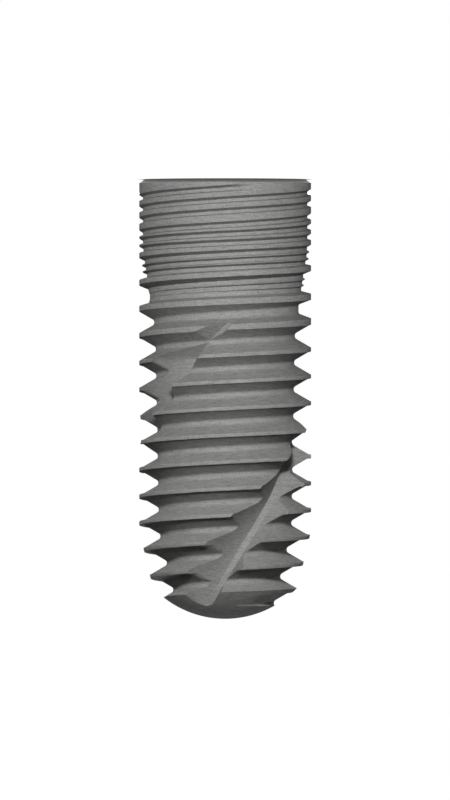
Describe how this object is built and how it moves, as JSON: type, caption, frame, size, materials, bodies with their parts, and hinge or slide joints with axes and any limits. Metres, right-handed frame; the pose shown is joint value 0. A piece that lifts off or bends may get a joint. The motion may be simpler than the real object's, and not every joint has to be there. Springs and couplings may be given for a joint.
{
  "type": "dental implant",
  "caption": "Threaded titanium dental implant fixture: cylinder with tapered, domed apex, fine neck grooves, coarse screw thread, cutting flutes and a hexagonal internal socket.",
  "frame": {"origin": "centre of the coronal platform, which lies in the plane z = 0 and faces down", "axes": "+Z along the implant's axis from the platform to the rounded apex; +X is the picture's left, +Y points away from its camera once the picture is turned upright on the platform"},
  "size_m": [0.0044, 0.0044, 0.0115],
  "materials": {
    "titanium": "grit-blasted and acid-etched titanium, matt grey, with a bright machined bevel, platform and socket"
  },
  "bodies": {
    "root": {"fixture_body": "titanium"}
  },
  "joints": []
}
